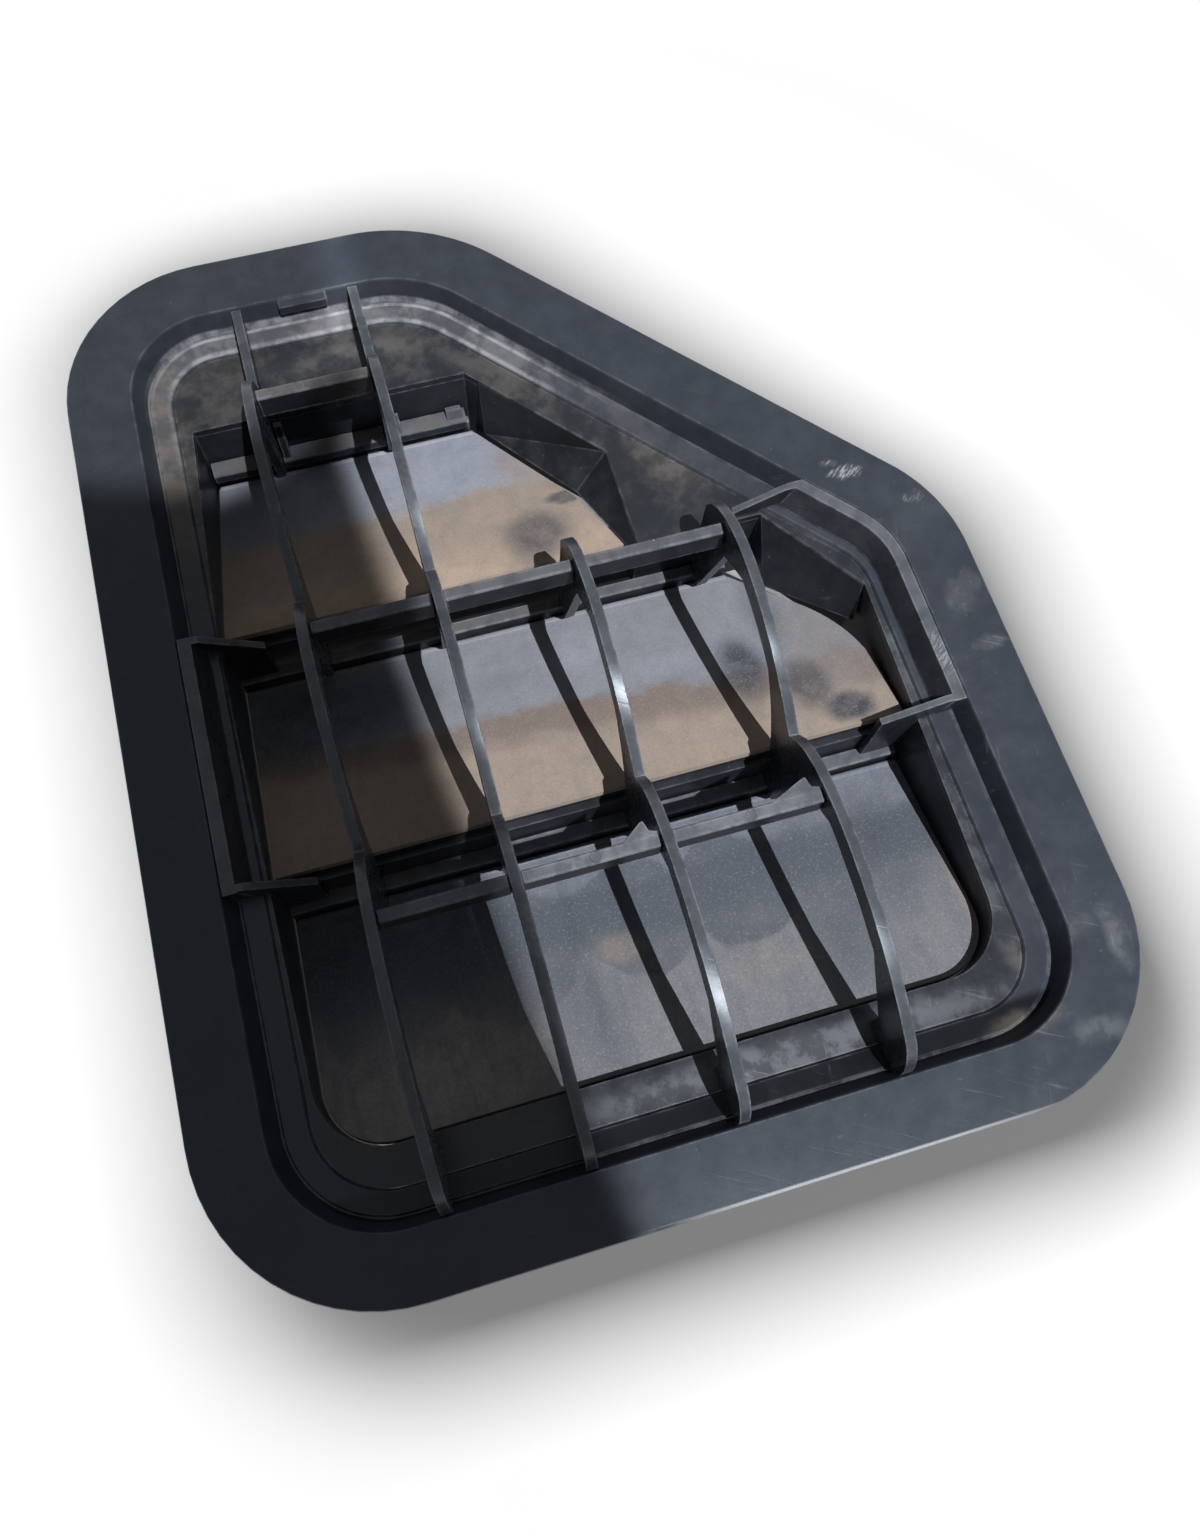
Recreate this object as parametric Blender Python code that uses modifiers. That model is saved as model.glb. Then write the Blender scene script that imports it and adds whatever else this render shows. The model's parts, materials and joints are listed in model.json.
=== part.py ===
"""Body air-extraction vent: flanged frame, guard ribs and three outward-swinging rubber flaps.

The vent lies on its back: +Z is out of the flange, +Y runs up the ribs towards the flap hinges,
and the origin is under the middle of the flange, on the back rim. Lengths are in metres.
"""
import math

import bmesh
import bpy
from mathutils import Matrix, Vector

# Flange outline
BASE_LEFT = -0.0899
BASE_RIGHT = 0.0901
OVERALL_HEIGHT = 0.220
TOP_EDGE = 0.0844
LEFT_LEAN = 0.0035
RIGHT_LEAN = 0.0029
SHOULDER_SHARE = 0.559
CORNER_RADII = (0.032, 0.041, 0.034, 0.033, 0.035)
CORNER_STEPS = 14
FLANGE_WIDTH = 0.014
FLANGE_WIDTH_BELOW = 0.0128
FLANGE_THICKNESS = 0.0024
FLANGE_EDGE_ROUND = 0.0008
FLANGE_INNER_ROUND = 0.00045

# Levels above the back rim
FLANGE_TOP = 0.031
LEDGE_DROP = 0.0064
LEDGE_THICKNESS = 0.0018
HINGE_HEIGHT = 0.006
FLAP_EDGE_HEIGHT = 0.020

# Stepped wall between the flange and the ledge
STEP_WIDTH = 0.0066
STEP_WALL_DROP = 0.0049
STEP_WALL_RUN = 0.0016
STEP_BEAD = 0.0006
WALL = 0.0018

# Small tab on the flange's top inner edge
TAB_LENGTH = 0.0105
TAB_DEPTH = 0.002
TAB_X = -0.0335

# Width of the ledge from the stepped wall to the flap bays
LEDGE_AT_TOP = 0.0173
LEDGE_AT_BOTTOM = 0.0075
LEDGE_AT_LEFT = 0.0021
LEDGE_AT_UPPER_LEFT = 0.006
LEDGE_AT_RIGHT = 0.0038
LEDGE_AT_DIAGONAL = 0.0059
LEDGE_AT_SHOULDER = 0.0014

# Flap bays
UPPER_BAY_RIGHT = 0.022
UPPER_BAY_SHARE = 0.3273
SHOULDER_CUT_DROP = 0.0132
BAY_CORNER_RADIUS = 0.013
SLOPE_RUN = 0.0075

# Flaps: hinge line and free edge of each, as shares of the bays' length from the top
FLAP_NAMES = ("upper", "middle", "lower")
HINGE_SHARE = (0.0219, 0.3550, 0.6901)
FREE_EDGE_SHARE = (0.3106, 0.6495, 0.9968)
FLAP_THICKNESS = 0.0012
HINGE_BEAD_RADIUS = 0.0009
FLAP_SIDE_GAP = 0.0006
FLAP_SHOULDER_RADIUS = 0.034
SEAT_THICKNESS = 0.0016
SEAT_LAND = 0.005
HINGE_BAR_HEIGHT = 0.0047
HINGE_BAR_CLEARANCE = 0.0012
RISER_LEAD = 0.0015

# Guard ribs and crossbars
RIB_1_X = -0.0480
RIB_SPACING = (0.0258, 0.0277, 0.0307)
RIB_THICKNESS = 0.0021
RIB_DEPTH = 0.0056
RIB_NOTCH_RISE = 0.0064
RIB_CREST_HANDLE = 0.0218
RIB_HORN_LEAD = 0.0026
RIB_TOE = 0.0016
RIB_STEPS = 12
SWING_CLEARANCE = 0.0011
CROSSBAR_WIDTH = 0.0025
CROSSBAR_HEIGHT = 0.0058
CROSSBAR_DROP = (0.0047, 0.0066, 0.0120)
CROSSBAR_TOP_RISE = (0.0120, 0.0130, 0.0150)

# End fences, seal and clips
FENCE_THICKNESS = 0.0026
FENCE_RISE = 0.0004
WEB_THICKNESS = 0.0018
WEB_REACH = 0.0125
WEB_END_DROP = {"left": 0.0095, "right": 0.0037}
SEAL_INSET = 0.003
SEAL_WIDTH = 0.0075
SEAL_THICKNESS = 0.003
CLIP_WIDTH = 0.010
CLIP_LENGTH = 0.0105
CLIP_BARB = 0.0028

# Gap left between pieces that touch, and the finer one between elements of the one frame moulding
GAP = 0.0003
JOIN = 0.00004

LEDGE_TOP = FLANGE_TOP - LEDGE_DROP
STEP_INSET = FLANGE_WIDTH + STEP_WIDTH
FLANGE_TRIM = FLANGE_WIDTH - FLANGE_WIDTH_BELOW
BEAD_TOP = FLANGE_TOP - STEP_WALL_DROP
SHOULDER_HEIGHT = OVERALL_HEIGHT * SHOULDER_SHARE
HINGE_BAR_BOTTOM = HINGE_HEIGHT - HINGE_BAR_CLEARANCE
RIB_FOOT_HEIGHT = HINGE_BAR_BOTTOM + HINGE_BAR_HEIGHT + JOIN
BAY_TOP = OVERALL_HEIGHT / 2 - STEP_INSET - LEDGE_AT_TOP
BAY_BOTTOM = -OVERALL_HEIGHT / 2 + STEP_INSET - FLANGE_TRIM + LEDGE_AT_BOTTOM
BAY_LENGTH = BAY_TOP - BAY_BOTTOM
BAY_LEFT = BASE_LEFT + STEP_INSET + LEDGE_AT_LEFT
BAY_RIGHT = BASE_RIGHT - STEP_INSET - LEDGE_AT_RIGHT
UPPER_BAY_LEFT = BASE_LEFT + STEP_INSET + LEDGE_AT_UPPER_LEFT
UPPER_BAY_END = BAY_TOP - BAY_LENGTH * UPPER_BAY_SHARE
HINGE_Y = [BAY_TOP - BAY_LENGTH * share for share in HINGE_SHARE]
FREE_EDGE_Y = [BAY_TOP - BAY_LENGTH * share for share in FREE_EDGE_SHARE]
RIB_X = [RIB_1_X + sum(RIB_SPACING[:index]) for index in range(len(RIB_SPACING) + 1)]

PLASTIC = (0.030, 0.033, 0.038, 1.0)
RUBBER = (0.135, 0.130, 0.122, 1.0)
FOAM = (0.020, 0.020, 0.021, 1.0)


def clear_scene():
    for old in list(bpy.data.objects):
        bpy.data.objects.remove(old, do_unlink=True)


def make_collection(name):
    collection = bpy.data.collections.new(name)
    bpy.context.scene.collection.children.link(collection)
    return collection


def make_material(name, colour, roughness):
    material = bpy.data.materials.new(name)
    material.use_nodes = True
    shader = material.node_tree.nodes["Principled BSDF"]
    shader.inputs["Base Color"].default_value = colour
    shader.inputs["Roughness"].default_value = roughness
    shader.inputs["Metallic"].default_value = 0.0
    return material


def add_object(name, mesh, collection):
    obj = bpy.data.objects.new(name, mesh)
    collection.objects.link(obj)
    mesh.materials.append(make_material(name + "_plastic", PLASTIC, 0.5))
    mesh.shade_smooth()
    mesh.set_sharp_from_angle(angle=math.radians(35))
    return obj


def mesh_from_bmesh(name, shape):
    bmesh.ops.recalc_face_normals(shape, faces=shape.faces[:])
    mesh = bpy.data.meshes.new(name)
    shape.to_mesh(mesh)
    shape.free()
    return mesh


# Outlines

def line_crossing(a, b, c, d):
    """Point where the line through a and b crosses the line through c and d."""
    first, second = b - a, d - c
    share = (c - a).cross(second) / first.cross(second)
    return a + first * share


def inset_corners(corners, distance):
    """Corners of a closed outline, listed counter-clockwise, moved inwards by a distance."""
    lines = []
    for start, end in zip(corners, corners[1:] + corners[:1]):
        along = (end - start).normalized()
        inward = Vector((-along.y, along.x)) * distance
        lines.append((start + inward, end + inward))
    return [line_crossing(*lines[i - 1], *lines[i]) for i in range(len(lines))]


def rounded(corners, radii, steps):
    """Outline with an arc at each corner; a corner of zero radius stays sharp."""
    points = []
    for index, corner in enumerate(corners):
        before = (corners[index - 1] - corner).normalized()
        after = (corners[(index + 1) % len(corners)] - corner).normalized()
        radius = radii[index]
        if radius <= 0:
            points.append(corner)
            continue
        half = before.angle(after) / 2
        centre = corner + (before + after).normalized() * (radius / math.sin(half))
        start = corner + before * (radius / math.tan(half)) - centre
        end = corner + after * (radius / math.tan(half)) - centre
        turn = start.angle_signed(end)
        for step in range(steps + 1):
            points.append(centre + Matrix.Rotation(-turn * step / steps, 2) @ start)
    return points


def flange_corners():
    left, right = BASE_LEFT, BASE_RIGHT
    top, bottom = OVERALL_HEIGHT / 2, -OVERALL_HEIGHT / 2
    top_left = Vector((left + LEFT_LEAN, top))
    return [
        top_left,
        Vector((left, bottom)),
        Vector((right, bottom)),
        Vector((right - RIGHT_LEAN, bottom + SHOULDER_HEIGHT)),
        top_left + Vector((TOP_EDGE, 0)),
    ]


def flange_outline(inset):
    """Flange outline moved inwards; the flange is narrower along its bottom edge."""
    top_left, top_right, shoulder, bottom_right, bottom_left = CORNER_RADII
    radii = (top_left, bottom_left, bottom_right, shoulder, top_right)
    corners = inset_corners(flange_corners(), inset)
    for corner in corners[1:3]:
        corner.y -= FLANGE_TRIM * min(inset / FLANGE_WIDTH, 1)
    return rounded(corners, [max(radius - inset, 0.001) for radius in radii], CORNER_STEPS)


def bay_corners():
    """Edge of the ledge round the three flap bays, counter-clockwise from the top left."""
    shoulder_y = -OVERALL_HEIGHT / 2 + SHOULDER_HEIGHT - SHOULDER_CUT_DROP
    shoulder = inset_corners(flange_corners(), STEP_INSET + LEDGE_AT_SHOULDER)[3:]
    diagonal = inset_corners(flange_corners(), STEP_INSET + LEDGE_AT_DIAGONAL)[3:]
    top = Vector((-1, BAY_TOP)), Vector((1, BAY_TOP))
    level = Vector((-1, UPPER_BAY_END)), Vector((1, UPPER_BAY_END))
    right = Vector((UPPER_BAY_RIGHT, -1)), Vector((UPPER_BAY_RIGHT, 1))
    corners = [
        (UPPER_BAY_LEFT, BAY_TOP),
        (BAY_LEFT, UPPER_BAY_END),
        (BAY_LEFT, BAY_BOTTOM),
        (BAY_RIGHT, BAY_BOTTOM),
        (BAY_RIGHT, shoulder_y),
        line_crossing(*level, *shoulder),
        (UPPER_BAY_RIGHT, UPPER_BAY_END),
        line_crossing(*right, *diagonal),
        line_crossing(*top, *diagonal),
    ]
    return [Vector(corner) for corner in corners]


def upper_bay_left(y):
    """X of the upper bay's left edge, which leans outwards down to the middle bay."""
    return BAY_LEFT + (UPPER_BAY_LEFT - BAY_LEFT) * (y - UPPER_BAY_END) / (BAY_TOP - UPPER_BAY_END)


def bay_outline(outset):
    radii = [0.0] * 9
    radii[2] = radii[3] = BAY_CORNER_RADIUS + outset
    return rounded(inset_corners(bay_corners(), -outset), radii, CORNER_STEPS)


# Solids

def loft_ring(name, profile, collection):
    """Closed ring that follows the flange outline, with a section of (inset, height) points."""
    shape = bmesh.new()
    rings = []
    for inset, height in profile:
        rings.append([shape.verts.new((p.x, p.y, height)) for p in flange_outline(inset)])
    for ring, following in zip(rings, rings[1:] + rings[:1]):
        for i in range(len(ring)):
            j = (i + 1) % len(ring)
            shape.faces.new((ring[i], ring[j], following[j], following[i]))
    return add_object(name, mesh_from_bmesh(name, shape), collection)


def plate(name, outline, thickness, collection, placement):
    """Flat plate from a filled curve, centred on its own plane."""
    curve = bpy.data.curves.new(name, "CURVE")
    curve.dimensions = "2D"
    curve.fill_mode = "BOTH"
    curve.extrude = thickness / 2
    spline = curve.splines.new("POLY")
    spline.points.add(len(outline) - 1)
    for point, (x, y) in zip(spline.points, outline):
        point.co = (x, y, 0, 1)
    spline.use_cyclic_u = True
    drawn = bpy.data.objects.new(name + "_outline", curve)
    bpy.context.scene.collection.objects.link(drawn)
    graph = bpy.context.evaluated_depsgraph_get()
    mesh = bpy.data.meshes.new_from_object(drawn.evaluated_get(graph))
    bpy.data.objects.remove(drawn, do_unlink=True)
    bpy.data.curves.remove(curve)
    mesh.materials.clear()
    shape = bmesh.new()
    shape.from_mesh(mesh)
    bmesh.ops.remove_doubles(shape, verts=shape.verts[:], dist=0.000001)
    bpy.data.meshes.remove(mesh)
    obj = add_object(name, mesh_from_bmesh(name, shape), collection)
    obj.matrix_world = placement
    return obj


def window_plate(name, outline, window, thickness, collection, tools, placement):
    """Flat plate with a window cut through it."""
    obj = plate(name, outline, thickness, collection, placement)
    cutter = plate(name + "_window", window, thickness * 2, tools, placement)
    combine(obj, cutter, "DIFFERENCE")
    return obj


def upright_plate(name, outline, x, thickness, collection):
    """Plate across X, drawn with (y, z) points."""
    turned = Matrix(((0, 0, 1, x), (1, 0, 0, 0), (0, 1, 0, 0), (0, 0, 0, 1)))
    return plate(name, outline, thickness, collection, turned)


def cross_plate(name, outline, y, thickness, collection):
    """Plate across Y, drawn with (x, z) points."""
    turned = Matrix(((1, 0, 0, 0), (0, 0, -1, y), (0, 1, 0, 0), (0, 0, 0, 1)))
    return plate(name, outline, thickness, collection, turned)


def box(name, low, high, collection, bevel=0.0):
    shape = bmesh.new()
    bmesh.ops.create_cube(shape, size=1.0)
    low, high = Vector(low), Vector(high)
    bmesh.ops.scale(shape, vec=high - low, verts=shape.verts[:])
    bmesh.ops.translate(shape, vec=(low + high) / 2, verts=shape.verts[:])
    obj = add_object(name, mesh_from_bmesh(name, shape), collection)
    if bevel:
        rounding = obj.modifiers.new("edge_round", "BEVEL")
        rounding.width = bevel
        rounding.segments = 2
    return obj


def skew_block(name, start, end, collection):
    """Solid between two four-sided ends, each listed from its back top round by its face.

    The face side is split along the diagonal that leaves it hollow.
    """
    shape = bmesh.new()
    a = [shape.verts.new(point) for point in start]
    b = [shape.verts.new(point) for point in end]
    shape.faces.new(a)
    shape.faces.new(b)
    outward = start[2] - start[3]
    falling, rising = start[1] + end[2], start[2] + end[1]
    first, second = (a[1], b[2]) if falling.dot(outward) < rising.dot(outward) else (a[2], b[1])
    for side in (0, 2, 3):
        shape.faces.new((a[side], a[(side + 1) % 4], b[(side + 1) % 4], b[side]))
    for corner in (a[1], a[2], b[1], b[2]):
        if corner not in (first, second):
            shape.faces.new((first, corner, second))
    return add_object(name, mesh_from_bmesh(name, shape), collection)


def combine(target, tool, operation):
    tool.hide_render = True
    tool.hide_set(True)
    tool.display_type = "WIRE"
    change = target.modifiers.new(tool.name, "BOOLEAN")
    change.operation = operation
    change.solver = "EXACT"
    change.object = tool


# Frame

def step_section():
    """Surface from the flange's inner edge down its wall, over a bead and down to the ledge.

    The points are (inset, height).
    """
    wall_foot, foot = FLANGE_WIDTH + STEP_WALL_RUN, STEP_INSET
    return [
        (FLANGE_WIDTH, FLANGE_TOP - FLANGE_INNER_ROUND),
        (wall_foot, BEAD_TOP - STEP_BEAD / 4),
        (wall_foot + STEP_BEAD / 2, BEAD_TOP - STEP_BEAD / 3),
        (wall_foot + STEP_BEAD, BEAD_TOP),
        (wall_foot + STEP_BEAD * 1.6, BEAD_TOP),
        (foot - STEP_BEAD * 3, LEDGE_TOP + STEP_BEAD * 1.4),
        (foot - STEP_BEAD * 0.7, LEDGE_TOP + STEP_BEAD),
        (foot, LEDGE_TOP + STEP_BEAD / 6),
    ]


def lifted_steps():
    """The steps' surface moved inwards and up by the gap left to what stands on it."""
    return [(inset + JOIN, height + 2 * JOIN) for inset, height in step_section()]


def make_frame(parts, tools):
    flange_back = FLANGE_TOP - FLANGE_THICKNESS
    under_ledge = LEDGE_TOP - LEDGE_THICKNESS
    profile = [
        (0, flange_back),
        (0, FLANGE_TOP - FLANGE_EDGE_ROUND),
        (FLANGE_EDGE_ROUND * 0.29, FLANGE_TOP - FLANGE_EDGE_ROUND * 0.29),
        (FLANGE_EDGE_ROUND, FLANGE_TOP),
        (FLANGE_WIDTH - FLANGE_INNER_ROUND, FLANGE_TOP),
    ]
    profile += step_section()
    profile += [
        (STEP_INSET, under_ledge),
        (FLANGE_WIDTH + WALL * 0.7, under_ledge),
        (FLANGE_WIDTH + STEP_WALL_RUN - WALL, BEAD_TOP - WALL / 2),
        (FLANGE_WIDTH - WALL, flange_back),
    ]
    frame = loft_ring("frame_flange", profile, parts)
    inner_edge = OVERALL_HEIGHT / 2 - FLANGE_WIDTH
    tab = box("tab", (TAB_X - TAB_LENGTH / 2, inner_edge - TAB_DEPTH, flange_back),
              (TAB_X + TAB_LENGTH / 2, inner_edge + TAB_DEPTH, FLANGE_TOP - GAP), tools)
    combine(frame, tab, "UNION")

    ledge_middle = Matrix.Translation((0, 0, (under_ledge + LEDGE_TOP) / 2))
    window_plate("ledge_deck", flange_outline(STEP_INSET + JOIN), bay_outline(0), LEDGE_THICKNESS,
                 parts, tools, ledge_middle)
    tub_depth = under_ledge - JOIN
    window_plate("tub_wall", bay_outline(WALL), bay_outline(0), tub_depth, parts, tools,
                 Matrix.Translation((0, 0, tub_depth / 2)))

    seal_top = flange_back - GAP
    seal = loft_ring("flange_seal", [
        (SEAL_INSET, seal_top - SEAL_THICKNESS),
        (SEAL_INSET, seal_top),
        (SEAL_INSET + SEAL_WIDTH, seal_top),
        (SEAL_INSET + SEAL_WIDTH, seal_top - SEAL_THICKNESS),
    ], parts)
    seal.data.materials[0] = make_material("seal_foam", FOAM, 0.9)


def slope_lines():
    """Each sloped wall's two ends, as places on the ledge's edge with their feet at the flap."""
    edge = inset_corners(bay_corners(), JOIN)
    mitre = inset_corners(bay_corners(), JOIN + SLOPE_RUN)[7]
    bar_end = edge[8].lerp(edge[7], 0.1)
    bar_foot = bar_end - Vector((0, SLOPE_RUN * 0.3))
    side_foot = edge[6] - Vector((SLOPE_RUN * 0.15, 0))
    cut = edge[4] - edge[5]
    shoulder_foot = edge[5] + Vector((0, cut.y * 0.44))
    shoulder_end = edge[4] - Vector((SLOPE_RUN * 0.1, SLOPE_RUN * 0.44))
    return {
        "upper_bay_slope_diagonal": (0, (bar_end, bar_foot), (edge[7], mitre)),
        "upper_bay_slope_side": (0, (edge[7], mitre), (edge[6], side_foot)),
        "middle_bay_slope": (1, (edge[5], shoulder_foot), (edge[4], shoulder_end)),
    }


def make_slopes(parts):
    """Sloped walls on the right of the upper and middle bays, from the ledge down to the flap."""
    for name, (flap, first, last) in slope_lines().items():
        along = (last[0] - first[0]).normalized() * JOIN / 2
        ends = []
        for (place, foot), shift in ((first, along), (last, -along)):
            place, foot = place + shift, foot + shift
            face = place.lerp(foot, 0.03)
            height = max(flap_surface(flap, foot.y), flap_surface(flap, place.y)) + 2 * GAP
            levels = ((place, LEDGE_TOP), (face, LEDGE_TOP), (foot, height), (place, height))
            ends.append([Vector((spot.x, spot.y, level)) for spot, level in levels])
        skew_block(name, *ends, parts)


# Flaps and their seats

def flap_tilt(index):
    return math.atan2(FLAP_EDGE_HEIGHT - HINGE_HEIGHT, HINGE_Y[index] - FREE_EDGE_Y[index])


def flap_length(index):
    return math.hypot(FLAP_EDGE_HEIGHT - HINGE_HEIGHT, HINGE_Y[index] - FREE_EDGE_Y[index])


def flap_surface(index, y):
    """Height of the closed flap's outer face."""
    tilt = flap_tilt(index)
    return HINGE_HEIGHT + (HINGE_Y[index] - y) * math.tan(tilt) + FLAP_THICKNESS / 2 / math.cos(tilt)


def flap_corners(index):
    """Flap outline: x, and the distance down from the hinge as negative y."""
    length = flap_length(index)
    stretch = 1 / math.cos(flap_tilt(index))
    left = hinge_left = BAY_LEFT + FLAP_SIDE_GAP
    right = (UPPER_BAY_RIGHT if index == 0 else BAY_RIGHT) - FLAP_SIDE_GAP
    if index == 0:
        left = upper_bay_left(FREE_EDGE_Y[0]) + FLAP_SIDE_GAP
        hinge_left = upper_bay_left(HINGE_Y[0]) + FLAP_SIDE_GAP
    if index == 2:
        points = [(left, 0), (left, -length), (right, -length), (right, 0)]
        return [Vector(point) for point in points]
    slopes = slope_lines()
    beside = slopes["upper_bay_slope_diagonal" if index == 0 else "middle_bay_slope"]
    high, bend = beside[1][1], beside[2][1]
    hinge_line = Vector((-1, HINGE_Y[index])), Vector((1, HINGE_Y[index]))
    hinge_right = line_crossing(high, bend, *hinge_line).x - 2 * FLAP_SIDE_GAP
    bend_point = Vector((bend.x - FLAP_SIDE_GAP, (bend.y - FLAP_SIDE_GAP - HINGE_Y[index]) * stretch))
    if index == 0:
        right = slopes["upper_bay_slope_side"][2][1].x - FLAP_SIDE_GAP
    else:
        side = Vector((right, 0)), Vector((right, -length))
        bend_point = line_crossing(Vector((hinge_right, 0)), bend_point, *side)
    points = [(hinge_left, 0), (left, -length), (right, -length), bend_point, (hinge_right, 0)]
    return [Vector(point) for point in points]


def flap_outline(index, inset, hinge_inset, free_inset):
    """Flap outline moved inwards at its sides, its hinge edge and its free edge."""
    corners = inset_corners(flap_corners(index), inset)
    radius = max(BAY_CORNER_RADIUS - FLAP_SIDE_GAP - inset, 0.001)
    length = flap_length(index)
    lean = (corners[0].x - corners[1].x) / (corners[0].y - corners[1].y)
    moved = []
    for number, corner in enumerate(corners):
        slide = lean if number < 2 else 0.0
        level = corner.y
        if corner.y > -length / 4 and abs(corner.y + inset) < 0.00001:
            level = -hinge_inset
        elif abs(corner.y + length - inset) < 0.00001:
            level = -length + free_inset
        moved.append(Vector((corner.x + slide * (level - corner.y), level)))
    radii = [0.0] * len(moved)
    if index == 1:
        radii[3] = FLAP_SHOULDER_RADIUS - inset
    if index == 2:
        radii[1] = radii[2] = radius
    return rounded(moved, radii, CORNER_STEPS)


def tilted(index, offset):
    """Placement on a closed flap's plane, with the hinge axis as its X axis."""
    axis = Matrix.Translation((0, HINGE_Y[index], HINGE_HEIGHT))
    turned = Matrix.Rotation(-flap_tilt(index), 4, "X")
    return axis @ turned @ Matrix.Translation((0, 0, offset))


def make_flap(index, parts, tools):
    name = "flap_" + FLAP_NAMES[index]
    flap = plate(name, flap_outline(index, 0, 0, 0), FLAP_THICKNESS, parts, tilted(index, 0))
    corners = flap_corners(index)
    left, right = corners[0].x, corners[-1].x
    shape = bmesh.new()
    across = Matrix.Rotation(math.pi / 2, 4, "Y")
    bmesh.ops.create_cone(shape, cap_ends=True, segments=12, radius1=HINGE_BEAD_RADIUS,
                          radius2=HINGE_BEAD_RADIUS, depth=right - left - 2 * GAP, matrix=across)
    bead = add_object(name + "_bead", mesh_from_bmesh(name + "_bead", shape), tools)
    bead.location = ((left + right) / 2, HINGE_Y[index], HINGE_HEIGHT)
    combine(flap, bead, "UNION")
    flap.data.materials[0] = make_material(name + "_rubber", RUBBER, 0.75)


def make_seat(index, parts, tools):
    """Sealing seat behind a closed flap, with a window for the air."""
    stretch = 1 / math.cos(flap_tilt(index))
    depth = HINGE_BEAD_RADIUS + GAP + SEAT_THICKNESS / 2
    back = (seat_back(index) - HINGE_Y[index]) * stretch
    outer = flap_outline(index, -GAP, -back, 2 * GAP)
    window = flap_outline(index, SEAT_LAND, SEAT_LAND, SEAT_LAND)
    window_plate("seat_" + FLAP_NAMES[index], outer, window, SEAT_THICKNESS, parts, tools,
                 tilted(index, -depth))


def seat_back(index):
    """Upper end of a seat, at the wall or riser behind its hinge."""
    return (BAY_TOP, UPPER_BAY_END, riser_front(1))[index] - 2 * GAP


def riser_front(index):
    return FREE_EDGE_Y[index] - RISER_LEAD


def make_hinge_bar(index, parts):
    corners = flap_corners(index)
    left = (UPPER_BAY_LEFT if index == 0 else BAY_LEFT) + GAP
    low = (left, HINGE_Y[index] + HINGE_BAR_CLEARANCE, HINGE_BAR_BOTTOM)
    right = corners[-1].x if index else bay_corners()[8].x
    high = (right - GAP, seat_back(index) + GAP, HINGE_BAR_BOTTOM + HINGE_BAR_HEIGHT)
    box("hinge_bar_" + FLAP_NAMES[index], low, high, parts, bevel=GAP)


def make_riser(index, parts):
    """Wall from the back rim up to the seat, below one flap's free edge."""
    front = riser_front(index)
    back = front + WALL
    left = (upper_bay_left(back) if index == 0 else BAY_LEFT) + GAP
    right = (UPPER_BAY_RIGHT if index == 0 else BAY_RIGHT) - GAP
    tilt = flap_tilt(index)
    seat_drop = (HINGE_BEAD_RADIUS + GAP + SEAT_THICKNESS) / math.cos(tilt)
    top = HINGE_HEIGHT + (HINGE_Y[index] - back) * math.tan(tilt) - seat_drop - GAP
    box("riser_" + FLAP_NAMES[index], (left, front, 0), (right, back, top), parts)


# Guard

def bezier(points, steps):
    """Points on a cubic curve, both ends included."""
    a, b, c, d = [Vector(point) for point in points]
    curve = []
    for step in range(steps + 1):
        t = step / steps
        s = 1 - t
        curve.append(a * s**3 + b * 3 * s * s * t + c * 3 * s * t * t + d * t**3)
    return curve


def circle_crossing(inside, outside, centre, radius):
    """Point where a segment leaves a circle."""
    step, offset = outside - inside, inside - centre
    half = offset.dot(step) / step.length_squared
    rest = (radius**2 - offset.length_squared) / step.length_squared
    return inside + step * (math.sqrt(half * half + rest) - half)


def crest(index):
    """Top edge of a rib over one bay, as (y, z) points from its horn to the next notch."""
    start = HINGE_Y[index] + RIB_HORN_LEAD
    notch = FLANGE_TOP + RIB_NOTCH_RISE
    high = FLANGE_TOP + RIB_CREST_HANDLE
    if index < 2:
        end = HINGE_Y[index + 1] + RIB_HORN_LEAD
        run = end - start
        return bezier(((start, notch), (start + run * 0.12, high), (start + run * 0.6, high),
                       (end, notch)), RIB_STEPS)
    end = -OVERALL_HEIGHT / 2 + FLANGE_WIDTH_BELOW + JOIN
    run = end - start
    shoulder = (start + run * 0.93, FLANGE_TOP + RIB_NOTCH_RISE * 1.6)
    arch = bezier(((start, notch), (start + run * 0.1, high), (start + run * 0.62, high), shoulder),
                  RIB_STEPS)
    nose = bezier((shoulder, (start + run * 0.97, FLANGE_TOP + RIB_NOTCH_RISE * 1.3),
                   (end, FLANGE_TOP + RIB_NOTCH_RISE * 0.6), (end, FLANGE_TOP)), RIB_STEPS // 2)
    return arch + nose[1:]


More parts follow.
